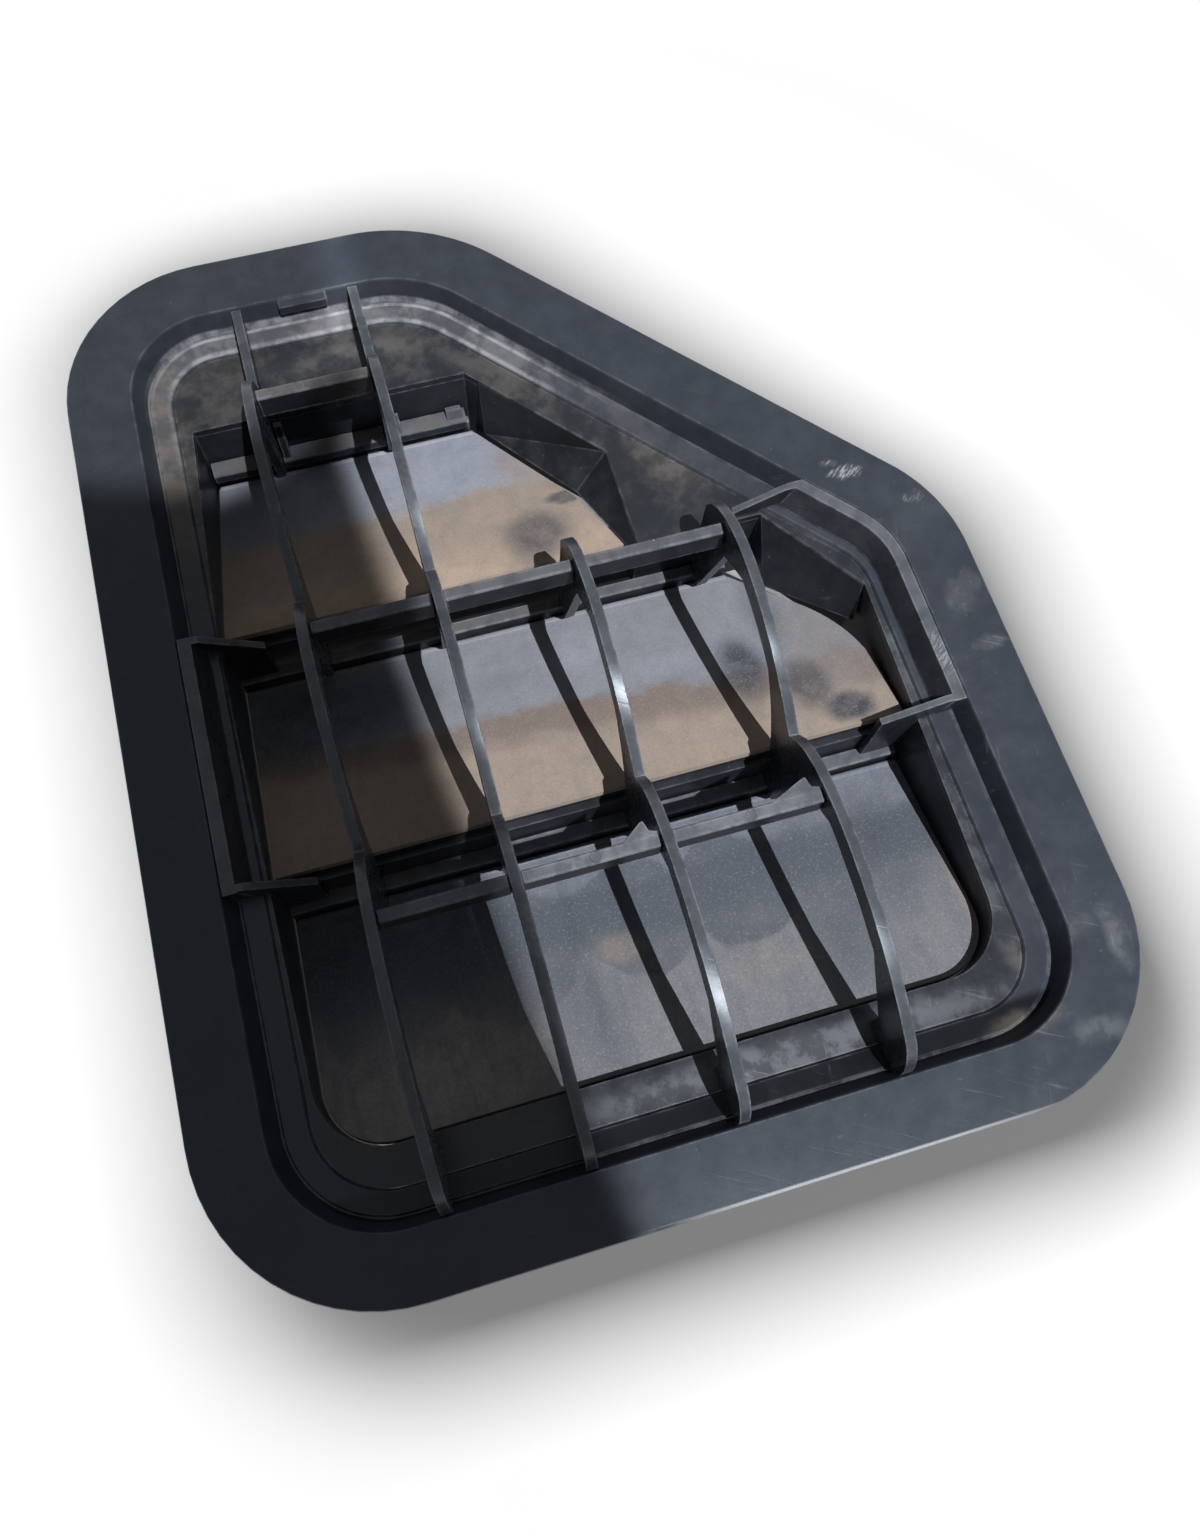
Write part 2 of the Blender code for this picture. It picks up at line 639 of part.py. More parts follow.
def rib_underside(index):
    """Lower edge of a rib over one bay, from its foot at the hinge to the end of the bay."""
    hinge = HINGE_Y[index]
    top = crest(index)
    points = [Vector((hinge - RIB_TOE, RIB_FOOT_HEIGHT)),
              Vector((hinge - RIB_TOE * 6, FLANGE_TOP + RIB_NOTCH_RISE))]
    last = BAY_BOTTOM + RIB_TOE if index == 2 else -math.inf
    lower = [point - Vector((0, RIB_DEPTH)) for point in top]
    lower = [point for point in lower if hinge - RIB_TOE * 9 > point.x > last]
    if index == 2:
        return points + lower
    reach = flap_length(index) + SWING_CLEARANCE
    centre = Vector((hinge, HINGE_HEIGHT))
    while (lower[0] - centre).length < reach:
        points.append(lower.pop(0))
    start = circle_crossing(points[-1], lower[0], centre, reach) - centre
    turn = math.atan2(start.y, -start.x)
    gusset_y = riser_front(index) - GAP - GAP / 3
    lowest = math.acos((hinge - gusset_y) / reach)
    for step in range(RIB_STEPS + 1):
        angle = turn + (lowest - turn) * step / RIB_STEPS
        points.append(centre + Vector((-math.cos(angle), math.sin(angle))) * reach)
    points.append(Vector((gusset_y, RIB_FOOT_HEIGHT)))
    return points


def rib_outline(first_bay):
    """Rib profile in (y, z), over the bays from first_bay down."""
    upper, lower = [], []
    for index in range(first_bay, 3):
        edge = crest(index)
        upper += edge if not upper else edge[1:]
        lower += rib_underside(index)
    clear = [Vector((OVERALL_HEIGHT / 2 - inset, height)) for inset, height in lifted_steps()]
    foot_back = HINGE_Y[first_bay] + RIB_HORN_LEAD
    head = []
    if first_bay == 0:
        head = [Vector((foot_back, RIB_FOOT_HEIGHT)), Vector((foot_back, LEDGE_TOP + JOIN))]
        head += clear[::-1]
        head += [Vector((foot_back + 2 * RIB_TOE, FLANGE_TOP + GAP))]
    else:
        head = [Vector((foot_back + RIB_TOE / 2, RIB_FOOT_HEIGHT))]
    tail = [Vector((-point.x - FLANGE_TRIM, point.y)) for point in clear]
    leg = BAY_BOTTOM - 2 * RIB_TOE
    tail += [Vector((leg, LEDGE_TOP + JOIN)), Vector((leg, FLANGE_TOP))]
    return head + upper + tail + lower[::-1]


def make_ribs(parts):
    for number, x in enumerate(RIB_X, start=1):
        first_bay = 0 if number <= 2 else 1
        upright_plate(f"guard_rib_{number}", rib_outline(first_bay), x, RIB_THICKNESS, parts)


def make_crossbars(parts):
    for index, name in enumerate(FLAP_NAMES):
        spans = range(1) if index == 0 else range(3)
        for span in spans:
            label = "crossbar_" + name if index == 0 else f"crossbar_{name}_{span + 1}"
            y = HINGE_Y[index] - CROSSBAR_DROP[index]
            top = FLANGE_TOP + CROSSBAR_TOP_RISE[index]
            reach = RIB_THICKNESS / 2 + JOIN
            low = (RIB_X[span] + reach, y - CROSSBAR_WIDTH / 2, top - CROSSBAR_HEIGHT)
            high = (RIB_X[span + 1] - reach, y + CROSSBAR_WIDTH / 2, top)
            box(label, low, high, parts, bevel=GAP)


# Fences and clips

def make_fence(side, parts, tools):
    """Fence on the stepped wall beside the middle bay, with a web at each end."""
    name = side + "_end_fence"
    sign = -1 if side == "left" else 1
    top = FLANGE_TOP + FENCE_RISE
    wall_and_bead = lifted_steps()[:-2]
    profile = [(FLANGE_WIDTH + JOIN, top), (FLANGE_WIDTH + FENCE_THICKNESS, top)]
    profile += wall_and_bead[::-1]
    fence = loft_ring(name, profile, parts)
    low_y = riser_front(1) - GAP - WEB_THICKNESS
    high_y = UPPER_BAY_END - GAP
    if side == "right":
        high_y = UPPER_BAY_END + GAP + WEB_THICKNESS
    near, far = sorted((sign * BASE_RIGHT / 3, sign * BASE_RIGHT))
    keep = box(name + "_stretch", (near, low_y, 0), (far, high_y, 2 * FLANGE_TOP), tools)
    combine(fence, keep, "INTERSECT")
    bay_edge = BAY_LEFT if side == "left" else BAY_RIGHT
    for place, y in (("upper", high_y - WEB_THICKNESS / 2), ("lower", low_y + WEB_THICKNESS / 2)):
        level = y + WEB_THICKNESS / 2
        start = frame_edge(side, level, FLANGE_WIDTH + FENCE_THICKNESS / 2)
        shelf = frame_edge(side, level, FLANGE_WIDTH + STEP_WIDTH / 2)
        foot = frame_edge(side, level, STEP_INSET + JOIN)
        if side == "right" and place == "upper":
            end = foot - sign * WEB_REACH * 0.5
            inner_end = [(end, LEDGE_TOP + 0.002), (end, LEDGE_TOP + JOIN)]
        else:
            end = bay_edge - sign * WEB_REACH * 0.7
            drop = bay_edge - sign * JOIN
            inner_end = [(end, top - WEB_END_DROP[side]), (end, RIB_FOOT_HEIGHT), (drop, RIB_FOOT_HEIGHT),
                         (drop, LEDGE_TOP + JOIN)]
        outline = [(start, top), (start - sign * FENCE_THICKNESS, top)] + inner_end
        outline += [(foot, inner_end[-1][1]), (foot, LEDGE_TOP + 0.001),
                    (shelf, BEAD_TOP + GAP), (start, BEAD_TOP + 4 * GAP)]
        web = cross_plate(f"{name}_{place}_web", outline, y, WEB_THICKNESS - GAP, tools)
        combine(fence, web, "UNION")


def frame_edge(side, y, inset):
    """X of the flange outline moved inwards, at a height y on one side."""
    outline = flange_outline(inset)
    level = (Vector((-1, y)), Vector((1, y)))
    found = [line_crossing(start, end, *level).x for start, end in zip(outline, outline[1:] + outline[:1])
             if (start.y - y) * (end.y - y) < 0]
    return min(found) if side == "left" else max(found)


def make_clips(parts):
    """Snap clips under the stepped wall, barbs outwards."""
    corners = flange_corners()
    places = ((0, 0.3), (0, 0.72), (1, 0.3), (1, 0.7), (2, 0.5), (3, 0.5))
    top = LEDGE_TOP - LEDGE_THICKNESS - GAP
    inner = STEP_INSET - WALL - GAP
    for number, (side, share) in enumerate(places, start=1):
        start, end = corners[side], corners[(side + 1) % len(corners)]
        along = (end - start).normalized()
        place = start + (end - start) * share
        turned = Matrix(((along.x, -along.y, 0, place.x), (along.y, along.x, 0, place.y),
                         (0, 0, 1, 0), (0, 0, 0, 1)))
        outline = [(inner, top), (inner, top - CLIP_LENGTH), (inner - WALL, top - CLIP_LENGTH),
                   (inner - WALL - CLIP_BARB, top - CLIP_LENGTH * 0.45),
                   (inner - WALL, top - CLIP_LENGTH * 0.36), (inner - WALL, top)]
        clip = upright_plate(f"snap_clip_{number}", outline, 0, CLIP_WIDTH, parts)
        clip.matrix_world = turned @ clip.matrix_world


def main():
    clear_scene()
    parts = make_collection("body_vent")
    tools = make_collection("cutters")
    make_frame(parts, tools)
    make_slopes(parts)
    for index in range(3):
        make_flap(index, parts, tools)
        make_seat(index, parts, tools)
        make_hinge_bar(index, parts)
    for index in range(2):
        make_riser(index, parts)
    make_ribs(parts)
    make_crossbars(parts)
    for side in ("left", "right"):
        make_fence(side, parts, tools)
    make_clips(parts)


main()
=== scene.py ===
"""Looks of the body air-extraction vent: dusty satin plastic with some painted highlights, sheen and shade,
stained rubber flaps with some painted shade and light, studio light.
"""
import json
import math

import bmesh
import bpy
from mathutils import Matrix, Vector

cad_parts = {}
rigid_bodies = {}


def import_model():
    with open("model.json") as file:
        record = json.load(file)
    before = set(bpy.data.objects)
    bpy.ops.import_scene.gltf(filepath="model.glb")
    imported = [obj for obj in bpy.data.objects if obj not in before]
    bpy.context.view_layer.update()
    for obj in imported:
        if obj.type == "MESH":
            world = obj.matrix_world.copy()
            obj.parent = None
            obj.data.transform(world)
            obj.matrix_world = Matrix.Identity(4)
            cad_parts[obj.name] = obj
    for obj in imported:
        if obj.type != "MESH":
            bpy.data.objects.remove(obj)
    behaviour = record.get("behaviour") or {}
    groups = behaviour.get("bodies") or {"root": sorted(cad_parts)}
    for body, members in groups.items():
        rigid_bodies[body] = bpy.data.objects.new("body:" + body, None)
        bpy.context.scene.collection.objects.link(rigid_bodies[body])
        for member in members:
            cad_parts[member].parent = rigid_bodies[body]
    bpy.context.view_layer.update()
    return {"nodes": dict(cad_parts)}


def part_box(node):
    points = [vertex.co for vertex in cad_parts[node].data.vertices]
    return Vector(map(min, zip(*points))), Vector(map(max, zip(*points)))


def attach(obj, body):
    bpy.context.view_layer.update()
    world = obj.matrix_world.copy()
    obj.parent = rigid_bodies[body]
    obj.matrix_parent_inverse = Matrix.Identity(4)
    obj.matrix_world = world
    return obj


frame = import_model()
nodes = frame["nodes"]

for leftover in [obj for obj in bpy.data.objects if obj.type in ("CAMERA", "LIGHT")]:
    bpy.data.objects.remove(leftover, do_unlink=True)
for leftover in [obj for obj in bpy.data.objects if obj.type == "MESH" and obj.name not in nodes]:
    bpy.data.objects.remove(leftover, do_unlink=True)

MM = 0.001


# Material building

class Look:
    """A node material under construction, in the part's own coordinates."""

    def __init__(self, name):
        self.material = bpy.data.materials.new(name)
        self.material.use_nodes = True
        self.tree = self.material.node_tree
        self.shader = self.tree.nodes["Principled BSDF"]
        self.place = self.node("ShaderNodeTexCoord").outputs["Object"]
        split = self.node("ShaderNodeSeparateXYZ", {0: self.place})
        self.x, self.y, self.z = split.outputs

    def node(self, kind, sockets=None, **settings):
        added = self.tree.nodes.new(kind)
        for key, value in settings.items():
            setattr(added, key, value)
        for key, value in (sockets or {}).items():
            if isinstance(value, bpy.types.NodeSocket):
                self.tree.links.new(value, added.inputs[key])
            else:
                added.inputs[key].default_value = value
        return added

    def math(self, operation, first, second):
        return self.node("ShaderNodeMath", {0: first, 1: second}, operation=operation).outputs[0]

    def chain(self, operation, values):
        total = values[0]
        for value in values[1:]:
            total = self.math(operation, total, value)
        return total

    def add(self, *values):
        return self.chain("ADD", values)

    def times(self, *values):
        return self.chain("MULTIPLY", values)

    def greatest(self, *values):
        return self.chain("MAXIMUM", values)

    def span(self, value, low, high):
        """0 at low, 1 at high, smooth between; low may be the larger one."""
        return self.node("ShaderNodeMapRange", {"Value": value, "From Min": low, "From Max": high},
                         interpolation_type="SMOOTHSTEP").outputs["Result"]

    def across(self, low, high):
        """The span between two x, in millimetres."""
        return self.span(self.x, low * MM, high * MM)

    def along(self, low, high):
        """The span between two y, in millimetres."""
        return self.span(self.y, low * MM, high * MM)

    def level(self, low, high):
        """The span between two heights, in millimetres."""
        return self.span(self.z, low * MM, high * MM)

    def uneven(self, least, value, low, high):
        """From least to 1 as the value goes from low to high."""
        return self.add(least, self.times(1 - least, self.span(value, low, high)))

    def vector(self, operation, *values):
        return self.node("ShaderNodeVectorMath", dict(enumerate(values)), operation=operation).outputs[0]

    def length(self, value):
        return self.node("ShaderNodeVectorMath", {0: value}, operation="LENGTH").outputs["Value"]

    def mapped(self, vector, **sockets):
        return self.node("ShaderNodeMapping", {"Vector": vector, **sockets}).outputs[0]

    def noise(self, size, detail=2.0, roughness=0.5, stretch=None, turn=0.0, shift=0.0):
        """Noise whose blotches are about size metres across, or longer along a turned direction."""
        vector = self.place
        if stretch:
            vector = self.mapped(self.mapped(vector, Rotation=(0, 0, turn)), Scale=stretch)
        if shift:
            vector = self.mapped(vector, Location=(shift, shift, shift))
        sockets = {"Vector": vector, "Scale": 1 / size, "Detail": detail, "Roughness": roughness}
        return self.node("ShaderNodeTexNoise", sockets).outputs["Fac"]

    def mix(self, share, first, second):
        sockets = {0: share, 6: first, 7: second}
        return self.node("ShaderNodeMix", sockets, data_type="RGBA").outputs[2]

    def wander(self, size, amount):
        """The place, pushed about by noise, for stains with wandering edges."""
        sockets = {"Vector": self.place, "Scale": 1 / size, "Detail": 3.0}
        noise = self.node("ShaderNodeTexNoise", sockets).outputs["Color"]
        centred = self.vector("SUBTRACT", noise, (0.5, 0.5, 0.5))
        return self.vector("MULTIPLY_ADD", centred, (amount, amount, amount), self.place)

    def patch(self, where, x, y, width, height, edge):
        """1 inside a soft-edged oval on the XY plane, in millimetres."""
        away = self.vector("SUBTRACT", where, (x * MM, y * MM, 0))
        sized = self.vector("MULTIPLY", away, (1 / (width * MM), 1 / (height * MM), 0))
        return self.span(self.length(sized), 1 + edge, 1 - edge)

    def distance(self, x, y):
        """How far the surface is from a point on the XY plane, in metres."""
        return self.length(self.vector("SUBTRACT", self.place, (x, y, 0)))

    def bump(self, height, strength, distance):
        sockets = {"Height": height, "Strength": strength, "Distance": distance}
        return self.node("ShaderNodeBump", sockets).outputs[0]

    def finish(self, **sockets):
        for key, value in sockets.items():
            name = key.replace("_", " ").title().replace("Ior", "IOR")
            if isinstance(value, bpy.types.NodeSocket):
                self.tree.links.new(value, self.shader.inputs[name])
            else:
                self.shader.inputs[name].default_value = value
        return self.material


# Plastic

BLACK = (0.0315, 0.0375, 0.0510, 1)
BLACK_WORN = (0.0430, 0.0505, 0.0660, 1)
DEEP = (0.0170, 0.0195, 0.0250, 1)
DEEP_WORN = (0.0290, 0.0325, 0.0400, 1)
# Grey of worn tops, partly a painted sheen on up-facing faces
RUBBED_AND_SHEEN = (0.200, 0.216, 0.252, 1)
DUST = (0.130, 0.121, 0.113, 1)
PALE_DUST = (0.235, 0.233, 0.243, 1)
BROWN_DUST = (0.170, 0.148, 0.130, 1)
SCUFF = (0.190, 0.205, 0.235, 1)
# Pale scratch colour, also used for the painted highlights on the step and the flange's outer rim
WHITE_SCUFF_AND_HIGHLIGHT = (0.480, 0.500, 0.540, 1)
# Pale edge colour: partly wear, partly a painted highlight along the edges
WORN_EDGE_AND_HIGHLIGHT = (0.300, 0.318, 0.352, 1)
# Near black of the painted shade along the step's wide end
PAINTED_SHADE_BLACK = (0.0050, 0.0055, 0.0070, 1)
SHEEN_TINT = (0.80, 0.90, 1.0, 1)
WORN_EDGE_AND_HIGHLIGHT_REACH = 0.6 * MM

# Heights between which a look sets in, in millimetres
BELOW_FLANGE_FACE = (30.6, 29.2)
STEP_TREADS = (27.6, 26.9)
# The crest and foot heights place the painted highlight lines on the step
STEP_CREST = (25.96, 26.05)
STEP_FOOT_LOW = (24.90, 25.05)
STEP_FOOT_HIGH = (25.40, 25.25)

# The y between which a look sets in, in millimetres
# Where the painted shade along the wide end sets in
WIDE_END_PAINTED_SHADE = (-89.0, -91.0)
# Where the painted highlight on the flange's outer rim sets in
WIDE_END_RIM_HIGHLIGHT = (-109.30, -109.65)


def step_dust_and_painted_light(look, colour, upward, lying, mottle, patches):
    """The step round the ledge: pale with dust at the narrow end, with painted highlight lines there,
    painted shade along the wide end and a painted highlight on the flange's outer rim.
    """
    step = look.level(*STEP_TREADS)
    pale = look.times(step, look.span(upward, 0.5, 0.9), look.along(46, 84),
                      look.add(0.22, look.times(0.50, patches)))
    colour = look.mix(pale, colour, PALE_DUST)
    brown = look.times(step, lying, look.across(-58, -68), look.along(20, 50),
                       look.add(0.25, look.times(0.55, patches)))
    colour = look.mix(brown, colour, BROWN_DUST)
    # Painted highlight: pale lines along the step's crest and foot at the narrow end
    crest = look.times(look.level(*STEP_CREST), step)
    foot = look.times(look.level(*STEP_FOOT_LOW), look.level(*STEP_FOOT_HIGH))
    shine = look.times(look.greatest(crest, foot), look.along(50, 80), look.across(-74, -58),
                       look.uneven(0.35, mottle, 0.38, 0.60), 0.60)
    colour = look.mix(shine, colour, WHITE_SCUFF_AND_HIGHLIGHT)
    # Painted shade: the step turns near black along the wide end
    colour = look.mix(look.times(step, look.along(*WIDE_END_PAINTED_SHADE), 0.92), colour, PAINTED_SHADE_BLACK)
    # Painted highlight along the flange's outer rim at the wide end
    rim = look.times(look.along(*WIDE_END_RIM_HIGHLIGHT), look.across(-14, 4), look.across(76, 36), 0.85)
    return look.mix(rim, colour, WHITE_SCUFF_AND_HIGHLIGHT)


def plastic_look(name, plain, worn, dusty, rub_and_sheen, satin, sheen, marks=(), stepped=False):
    """Satin black moulding with dust on its ledges, grey tops that are partly wear and partly a painted
    sheen, pale edges that are partly wear and partly a painted highlight, and marks.

    A mark is an oval, in millimetres: colour, x, y, half width, half height, amount and softness.
    A stepped part has the step round the ledge, with its dust, painted highlights and painted shade.
    """
    look = Look(name)
    normal = look.node("ShaderNodeNewGeometry").outputs["Normal"]
    upward = look.node("ShaderNodeSeparateXYZ", {0: normal}).outputs[2]
    lying = look.span(upward, 0.25, 0.9)
    cloud = look.noise(17 * MM, 5.0, 0.62)
    mottle = look.noise(4.5 * MM, 4.0, 0.65, shift=3.1)
    fine = look.noise(0.8 * MM, 3.0, 0.6)

    blotches = look.add(look.times(0.6, cloud), look.times(0.4, mottle))
    colour = look.mix(look.span(blotches, 0.38, 0.64), plain, worn)
    # Up-facing faces turn grey: partly wear, partly a painted sheen on the tops
    tops = look.times(look.span(upward, 0.15, 0.75), look.uneven(0.65, mottle, 0.35, 0.65))
    colour = look.mix(look.times(tops, rub_and_sheen), colour, RUBBED_AND_SHEEN)

    upper_end = look.span(look.add(look.y, look.times(-0.55, look.x)), -30 * MM, 45 * MM)
    patches = look.span(look.add(look.times(0.55, cloud), look.times(0.45, mottle)), 0.42, 0.62)
    dust = look.times(look.level(*BELOW_FLANGE_FACE), lying, look.add(0.10, look.times(0.90, patches)),
                      look.add(0.08, look.times(0.92, upper_end)), dusty)
    hollow = look.node("ShaderNodeAmbientOcclusion", {"Distance": 5 * MM}, samples=6).outputs["AO"]
    corner = look.times(look.span(hollow, 0.8, 0.3), look.span(mottle, 0.45, 0.7), upper_end, 0.35 * dusty)
    speck = look.times(look.span(look.noise(1.1 * MM, 1.0, 0.5, shift=7.7), 0.72, 0.79), 0.6)
    dust = look.greatest(dust, corner, look.times(speck, look.span(cloud, 0.42, 0.6)))
    colour = look.mix(dust, colour, DUST)
    # The step adds painted highlights and painted shade to its dust
    if stepped:
        colour = step_dust_and_painted_light(look, colour, upward, lying, mottle, patches)

    streak_a = look.noise(1.0, 3.0, 0.6, stretch=(60, 1100, 300), turn=0.5)
    streak_b = look.noise(1.0, 3.0, 0.6, stretch=(1100, 80, 300), turn=0.2, shift=1.7)
    streaks = look.greatest(look.span(streak_a, 0.62, 0.72), look.span(streak_b, 0.63, 0.73))
    brushed = look.add(0.30, look.times(0.45, look.span(mottle, 0.42, 0.60)), look.times(0.5, streaks))
    scratch = look.noise(1.0, 4.0, 0.7, stretch=(350, 2200, 300), turn=-0.7, shift=2.9)
    scratched = look.uneven(0.10, scratch, 0.48, 0.60)
    near = look.wander(4 * MM, 3.0 * MM)
    for tone, x, y, width, height, amount, softness in marks:
        spot = look.patch(near, x, y, width, height, softness)
        grain = scratched if tone == WHITE_SCUFF_AND_HIGHLIGHT else brushed
        colour = look.mix(look.times(spot, grain, lying, amount), colour, tone)

    right_side = look.span(look.add(look.x, look.times(-0.35, look.y)), -10 * MM, 90 * MM)
    rub_zone = look.span(look.noise(13 * MM, 4.0, 0.6, shift=5.3), 0.50, 0.68)
    scuffs = look.times(rub_zone, look.add(0.12, look.times(0.88, streaks)),
                        look.add(0.10, look.times(0.90, right_side)))
    colour = look.mix(look.times(scuffs, 0.5), colour, SCUFF)
    # Convex edges turn pale: partly wear, partly a painted highlight
    round_edge = look.node("ShaderNodeBevel", {"Radius": WORN_EDGE_AND_HIGHLIGHT_REACH}, samples=4).outputs[0]
    turn = look.node("ShaderNodeVectorMath", {0: round_edge, 1: normal}, operation="DOT_PRODUCT")
    edges = look.times(look.span(turn.outputs["Value"], 0.998, 0.94), look.uneven(0.20, mottle, 0.40, 0.6),
                       0.35 + 0.9 * rub_and_sheen)
    colour = look.mix(edges, colour, WORN_EDGE_AND_HIGHLIGHT)

    roughness = look.add(satin, look.times(0.14, mottle), look.times(0.40, dust), look.times(0.14, scuffs))
    height = look.add(look.times(0.5, fine), look.times(0.7, mottle), look.times(-0.6, streaks))
    return look.finish(base_color=colour, roughness=roughness, specular_ior_level=sheen,
                       specular_tint=SHEEN_TINT, normal=look.bump(height, 0.08, 0.25 * MM))


FLANGE_MARKS = (
    (WHITE_SCUFF_AND_HIGHLIGHT, 68, 22.7, 3.2, 1.3, 0.90, 0.5),
    (WHITE_SCUFF_AND_HIGHLIGHT, 65.5, 26, 1.6, 1.0, 0.60, 0.5),
    (WHITE_SCUFF_AND_HIGHLIGHT, 79.7, 13.8, 2.0, 1.2, 0.30, 0.6),
    (SCUFF, 80.7, -10.4, 2.4, 3.2, 0.60, 0.6),
    (SCUFF, 84.4, -8.0, 1.8, 2.4, 0.55, 0.6),
    (SCUFF, 83.4, -21.9, 3.2, 1.5, 0.60, 0.6),
    (BROWN_DUST, 62.7, -94.5, 6.0, 2.0, 0.60, 0.6),
    (SCUFF, 73.8, -99.5, 4.5, 2.2, 0.50, 0.6),
    (SCUFF, 84.0, -84.0, 1.8, 6.0, 0.60, 0.6),
    (SCUFF, 76.8, -80.8, 3.0, 2.0, 0.40, 0.6),
)
LEDGE_MARKS = (
    (BROWN_DUST, -70, 66, 6, 16, 0.60, 0.6),
    (DUST, -60, 88, 9, 5, 0.60, 0.6),
    (PALE_DUST, -27, 83, 16, 3, 0.25, 0.6),
    (BROWN_DUST, 20, 72, 13, 7, 0.75, 0.6),
    (BROWN_DUST, 38, 44, 9, 12, 0.65, 0.6),
    (PALE_DUST, 33, 57, 3, 9, 0.45, 0.6),
    (BROWN_DUST, 71, -84, 5, 6, 0.70, 0.6),
    (SCUFF, 66, -62, 2.6, 22, 0.35, 0.6),
    (SCUFF, 66, -20, 2.6, 16, 0.50, 0.6),
    (SCUFF, 20, -88, 38, 3.2, 0.85, 0.6),
)
SLOPE_MARKS = (
    (BROWN_DUST, 12, 66, 13, 5, 0.70, 0.6),
    (BROWN_DUST, 49, 14, 7, 5, 0.70, 0.6),
    (DUST, 60, 2, 9, 9, 0.45, 0.6),
)
GUARD_MARKS = (
    (BROWN_DUST, -35, 64, 14, 4, 1.00, 0.5),
    (SCUFF, 8, -47, 28, 2.5, 0.90, 0.5),
    (DUST, 0, 10.5, 22, 2.0, 0.45, 0.5),
    (WHITE_SCUFF_AND_HIGHLIGHT, 73, -22, 2.0, 4.0, 0.55, 0.6),
    (SCUFF, 62, 15, 14, 10, 0.35, 0.6),
)
FLANGE_PLASTIC = plastic_look("flange_plastic", BLACK, BLACK_WORN, dusty=0.30, rub_and_sheen=0.04, satin=0.27,
                              sheen=0.12, marks=FLANGE_MARKS, stepped=True)
LEDGE_PLASTIC = plastic_look("ledge_plastic_dusty", DEEP, DEEP_WORN, dusty=0.50, rub_and_sheen=0.0, satin=0.20,
                             sheen=0.16, marks=LEDGE_MARKS)
SLOPE_PLASTIC = plastic_look("slope_plastic", DEEP, DEEP_WORN, dusty=0.25, rub_and_sheen=0.0, satin=0.30,
                             sheen=0.12, marks=SLOPE_MARKS)
RIB_PLASTIC = plastic_look("rib_plastic", DEEP, DEEP_WORN, dusty=0.05, rub_and_sheen=0.30, satin=0.20, sheen=0.20)
GUARD_PLASTIC = plastic_look("guard_plastic", DEEP, DEEP_WORN, dusty=0.10, rub_and_sheen=0.50, satin=0.22,
                             sheen=0.18, marks=GUARD_MARKS)
HINGE_PLASTIC = plastic_look("hinge_plastic_dusty", DEEP, DEEP_WORN, dusty=1.0, rub_and_sheen=0.60, satin=0.35,
                             sheen=0.12)


# Rubber flaps and foam

GREY_DUST = (0.370, 0.395, 0.470, 1)
BLUE_GREY = (0.290, 0.305, 0.350, 1)
TAN_DUST = (0.410, 0.335, 0.275, 1)
WARM_TAN = (0.530, 0.415, 0.330, 1)
RUST = (0.270, 0.215, 0.187, 1)
# Dark smudge of dirt, also used for painted shade at the flaps' left ends
SMUDGE_AND_SHADE = (0.060, 0.068, 0.085, 1)
# Dark film of dirt, also used for painted shade at the flaps' left ends
FILM_AND_SHADE = (0.108, 0.124, 0.154, 1)
PALE_FILM = (0.240, 0.245, 0.265, 1)
HINGE_FILM = (0.215, 0.235, 0.285, 1)
GREY_TAN = (0.290, 0.262, 0.255, 1)
# Pale tone painted on as light in the lower flap's shaded left part
PAINTED_LIGHT_PALE = (0.455, 0.440, 0.445, 1)
GRIT = (0.560, 0.530, 0.510, 1)
FOAM = (0.018, 0.018, 0.020, 1)
FOAM_PALE = (0.042, 0.042, 0.045, 1)
SMALL_STAIN = 8  # a stain with a smaller half width or height keeps closer to its place


